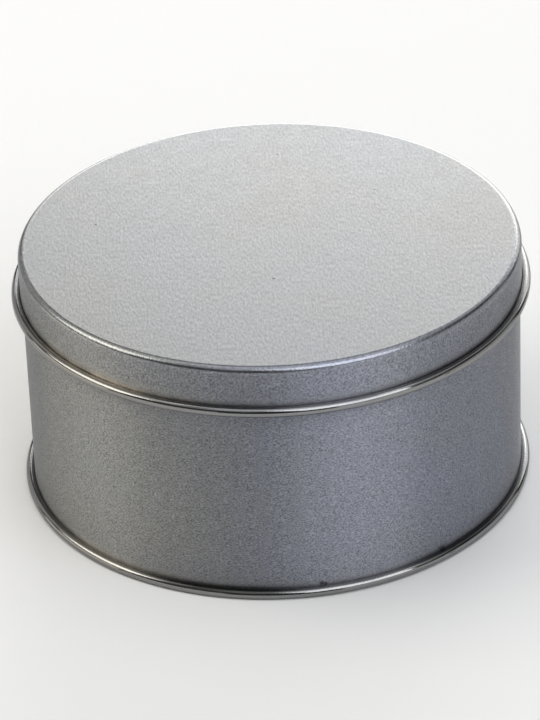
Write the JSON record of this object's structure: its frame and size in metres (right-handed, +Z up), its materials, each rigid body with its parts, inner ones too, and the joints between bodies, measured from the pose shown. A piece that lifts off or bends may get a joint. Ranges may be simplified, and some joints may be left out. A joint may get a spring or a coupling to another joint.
{
  "type": "round tin",
  "caption": "Shut round slip-lid tin in plain tinplate: flat panel lid with a rolled hem, straight wall and a rolled bead round the base.",
  "frame": {"origin": "centre of the ring that the tin stands on, at the table", "axes": "+Z up along the tin's axis; X and Y lie in the table, and no direction round the axis is special"},
  "size_m": [0.1562, 0.1562, 0.078],
  "materials": {
    "tinplate": "satin, finely grained bare tinplate"
  },
  "bodies": {
    "root": {"body": "tinplate", "lid": "tinplate", "base_end": "tinplate"}
  },
  "joints": []
}
